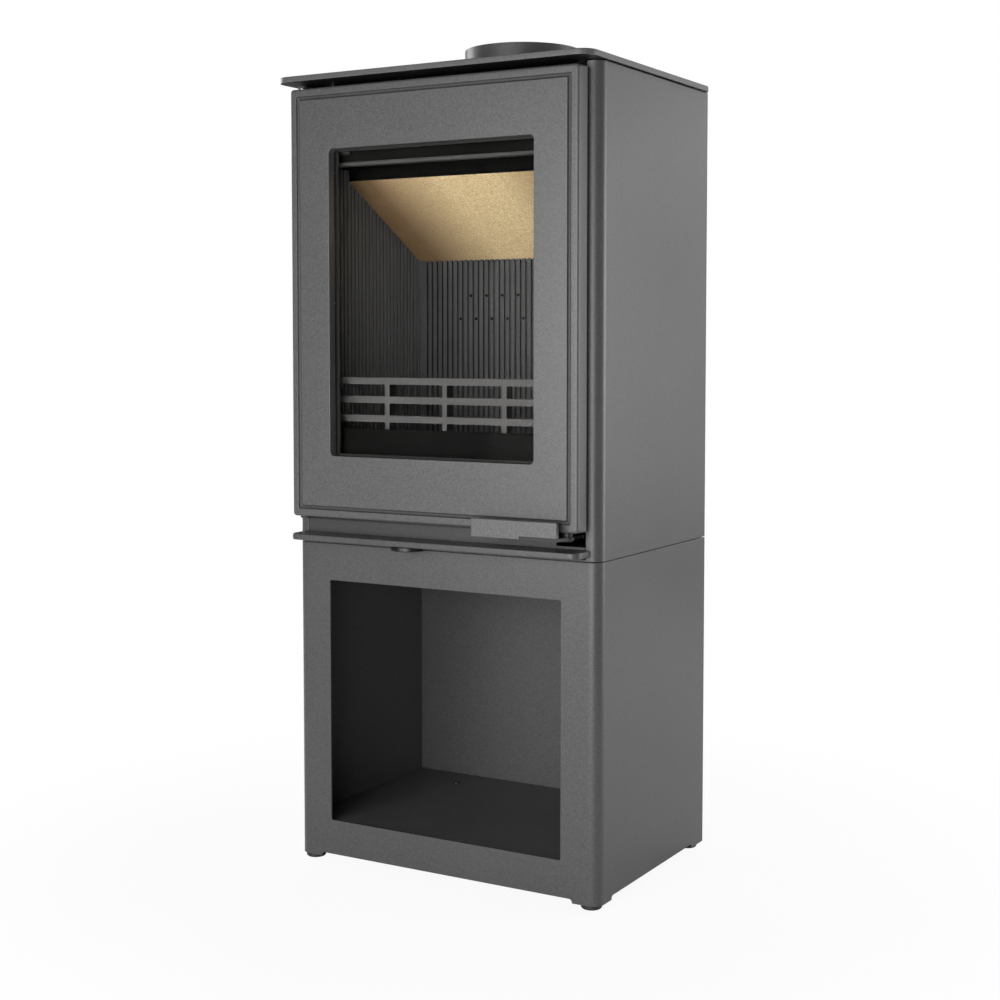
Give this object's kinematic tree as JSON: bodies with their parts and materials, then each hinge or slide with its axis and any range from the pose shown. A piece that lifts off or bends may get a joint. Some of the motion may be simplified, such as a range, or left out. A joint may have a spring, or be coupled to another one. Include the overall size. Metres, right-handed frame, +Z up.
{
  "type": "wood burning stove",
  "caption": "Free-standing wood burning stove with a glazed hinged door, air control and flue collar, standing on an open log store.",
  "frame": {"origin": "middle of the whole stove's footprint, on the floor under the feet", "axes": "+Z up, front and door towards -Y, +X to the right as the front is seen"},
  "size_m": [0.441, 0.357, 1.042],
  "materials": {
    "casing": "fine textured anthracite stove paint, satin",
    "top_plate": "fine textured anthracite stove paint, satin",
    "door": "stove paint over a lightly grained casting, satin",
    "handle": "lighter grey textured paint",
    "store_inside": "anthracite stove paint, matt",
    "firebox_steel": "matt black stove paint",
    "liner": "fluted fireproof board, dark grey",
    "hearth": "fireproof brick, dark grey",
    "vermiculite": "pressed vermiculite, tan with gold flecks",
    "log_guard": "cast, satin",
    "glass": "clear ceramic glass",
    "rope": "woven glass fibre rope",
    "steel": "zinc plated steel",
    "black_parts": "satin black",
    "feet": "moulded black"
  },
  "bodies": {
    "stove": {"store_shell": "casing", "left_side_panel": "casing", "right_side_panel": "casing", "lower_front_panel": "casing", "ash_lip": "casing", "top_plate": "top_plate", "flue_collar": "top_plate", "store_back_panel": "store_inside", "store_floor": "store_inside", "floor_rails": "store_inside", "store_top_panel": "store_inside", "foot_brackets": "store_inside", "base_plate": "store_inside", "rear_heat_shield": "store_inside", "firebox_left_wall": "firebox_steel", "firebox_right_wall": "firebox_steel", "firebox_back_wall": "firebox_steel", "firebox_roof": "firebox_steel", "firebox_front_frame": "firebox_steel", "hearth_plate": "firebox_steel", "air_box": "firebox_steel", "air_slide_guides": "firebox_steel", "rear_air_duct": "firebox_steel", "throat_plate": "firebox_steel", "airwash_deflector": "firebox_steel", "front_sill": "firebox_steel", "hinge_bracket_top": "firebox_steel", "hinge_bracket_bottom": "firebox_steel", "left_liner": "liner", "right_liner": "liner", "back_liner": "liner", "hearth_brick": "hearth", "baffle_board": "vermiculite", "log_guard": "log_guard", "floor_screws": "steel", "joining_bolts": "steel", "heat_shield_screws": "steel", "heat_shield_spacers": "steel", "latch_keeper": "steel", "hinge_pins": "steel", "hinge_washer": "steel", "top_plate_spacers": "steel", "flue_collar_screws": "steel", "deflector_brackets": "steel", "levelling_feet": "feet"},
    "door": {"door_frame": "door", "door_glass": "glass", "glass_gasket": "rope", "glass_retainers": "firebox_steel", "retainer_screws": "steel", "door_rope": "rope"},
    "handle": {"handle_grip": "handle", "handle_arm": "handle", "handle_pivot_pin": "steel", "pivot_spacer": "steel"},
    "air_slide": {"air_slide_blade": "steel", "air_slide_knob": "black_parts"}
  },
  "joints": [
    {"name": "door_swing", "type": "hinge", "parent": "stove", "child": "door", "pos_m": [-0.1905, -0.1515, 0.7128], "axis": [0, 0, -1], "range_deg": [0, 110]},
    {"name": "handle_swing", "type": "hinge", "parent": "door", "child": "handle", "pos_m": [0.1835, -0.1515, 0.45], "axis": [0, 0, 1], "range_deg": [0, 35]},
    {"name": "air_slide", "type": "slide", "parent": "stove", "child": "air_slide", "axis": [1, 0, 0], "range_m": [0, 0.08]}
  ]
}
